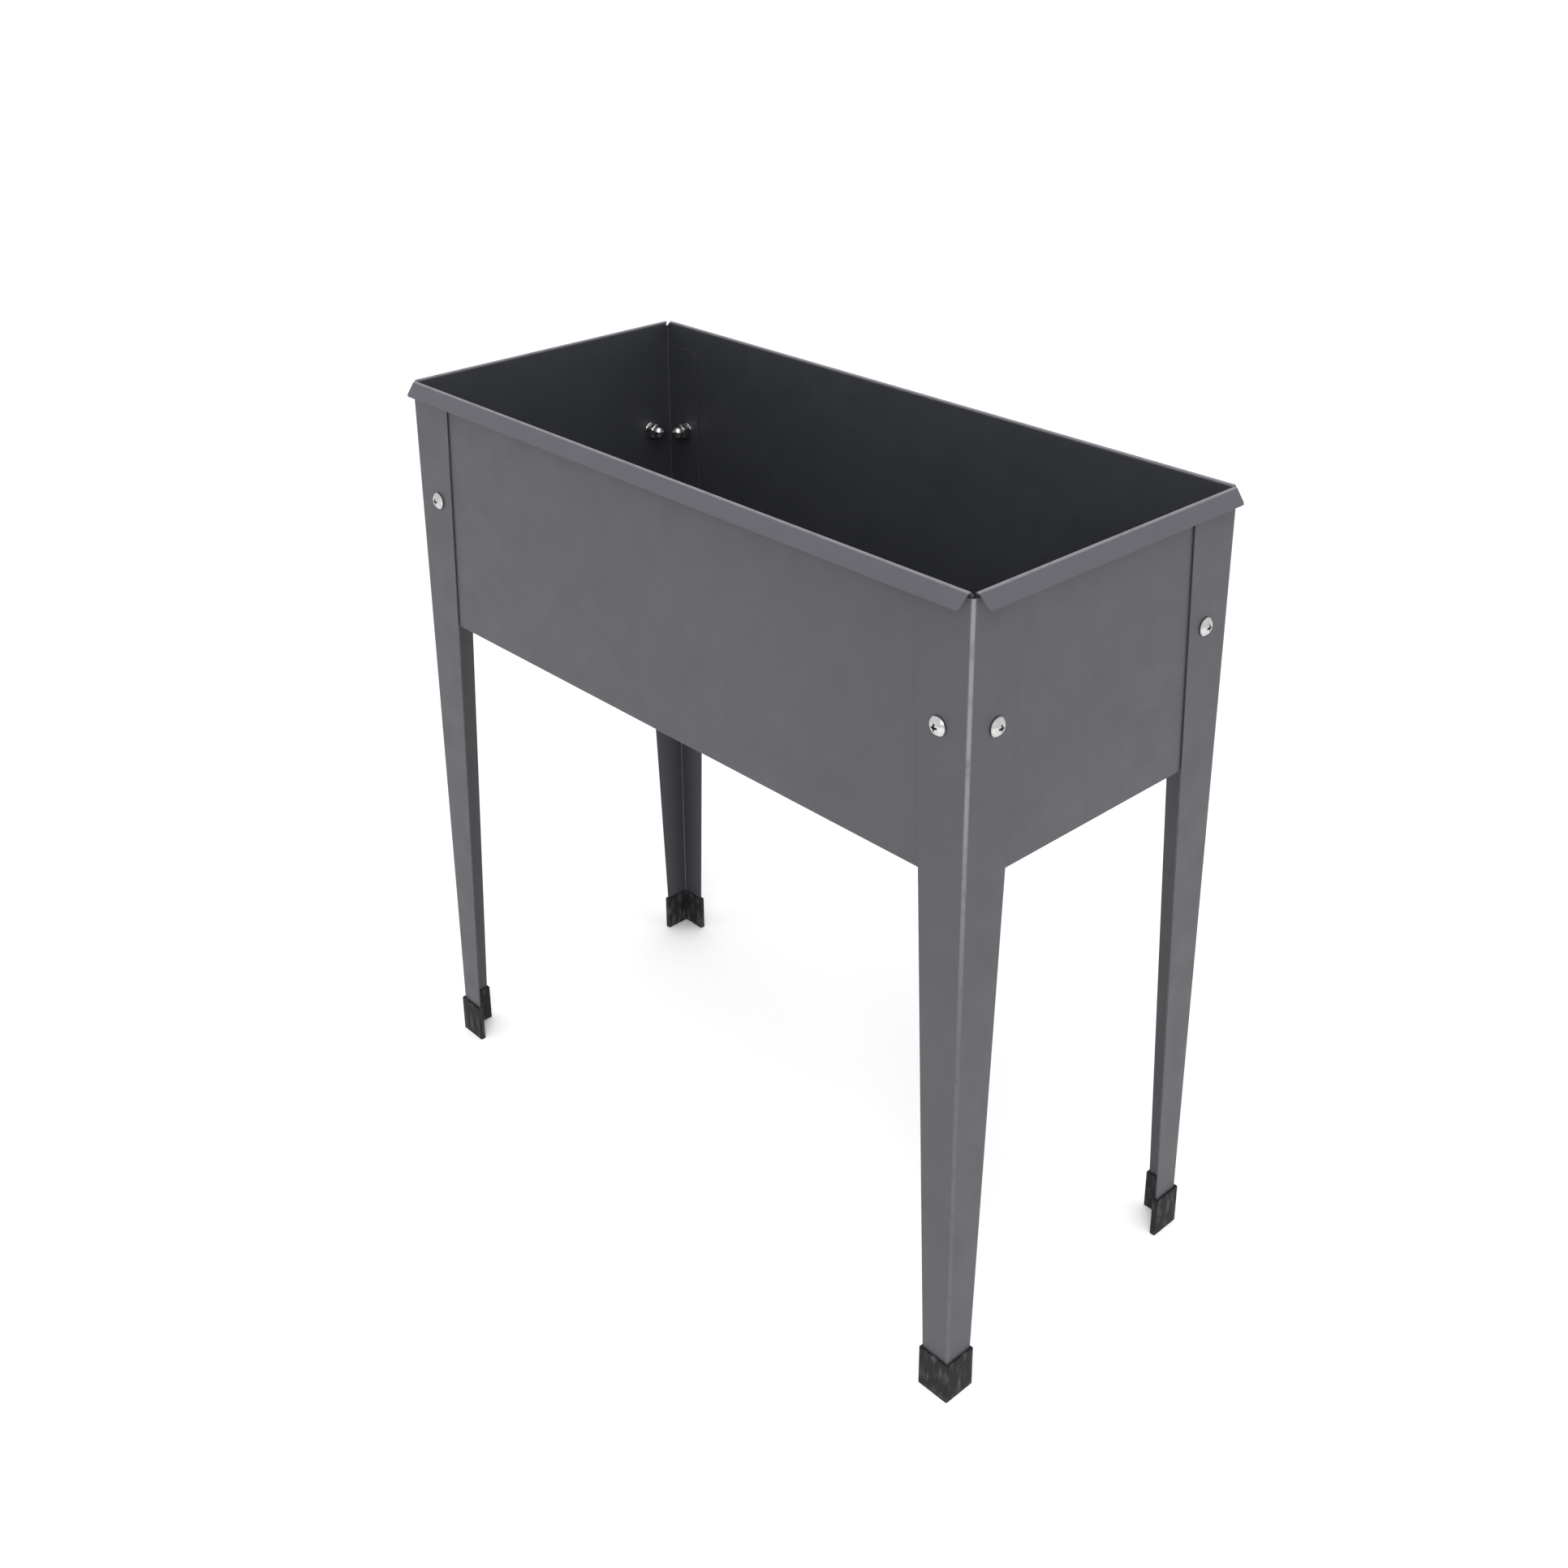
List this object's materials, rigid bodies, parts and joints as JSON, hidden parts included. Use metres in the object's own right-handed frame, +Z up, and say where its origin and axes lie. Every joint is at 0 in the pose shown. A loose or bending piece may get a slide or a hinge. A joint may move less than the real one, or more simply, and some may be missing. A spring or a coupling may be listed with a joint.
{
  "type": "raised planter on legs",
  "caption": "Raised rectangular sheet-metal planter box with a flared rolled rim, bolted between tapered angle legs that stand in rubber foot caps.",
  "frame": {"origin": "on the ground, under the middle of the box", "axes": "+X along the length of the box, +Y towards the back long side, +Z up"},
  "size_m": [0.7934, 0.3654, 0.8],
  "materials": {
    "graphite_coat": "satin powder coat, grey outside and darker inside the box and the legs",
    "black_rubber": "matte",
    "bright_steel": "polished"
  },
  "bodies": {
    "root": {"front_panel": "graphite_coat", "back_panel": "graphite_coat", "left_end_panel": "graphite_coat", "right_end_panel": "graphite_coat", "base_tray": "graphite_coat", "leg_front_left": "graphite_coat", "leg_front_right": "graphite_coat", "leg_back_left": "graphite_coat", "leg_back_right": "graphite_coat", "foot_cap_front_left": "black_rubber", "foot_cap_front_right": "black_rubber", "foot_cap_back_left": "black_rubber", "foot_cap_back_right": "black_rubber", "bolt_front_left": "bright_steel", "bolt_front_right": "bright_steel", "bolt_back_right": "bright_steel", "bolt_back_left": "bright_steel", "bolt_left_back": "bright_steel", "bolt_left_front": "bright_steel", "bolt_right_front": "bright_steel", "bolt_right_back": "bright_steel", "washer_front_left": "bright_steel", "washer_front_right": "bright_steel", "washer_back_right": "bright_steel", "washer_back_left": "bright_steel", "washer_left_back": "bright_steel", "washer_left_front": "bright_steel", "washer_right_front": "bright_steel", "washer_right_back": "bright_steel", "dome_nut_front_left": "bright_steel", "dome_nut_front_right": "bright_steel", "dome_nut_back_right": "bright_steel", "dome_nut_back_left": "bright_steel", "dome_nut_left_back": "bright_steel", "dome_nut_left_front": "bright_steel", "dome_nut_right_front": "bright_steel", "dome_nut_right_back": "bright_steel"}
  },
  "joints": []
}
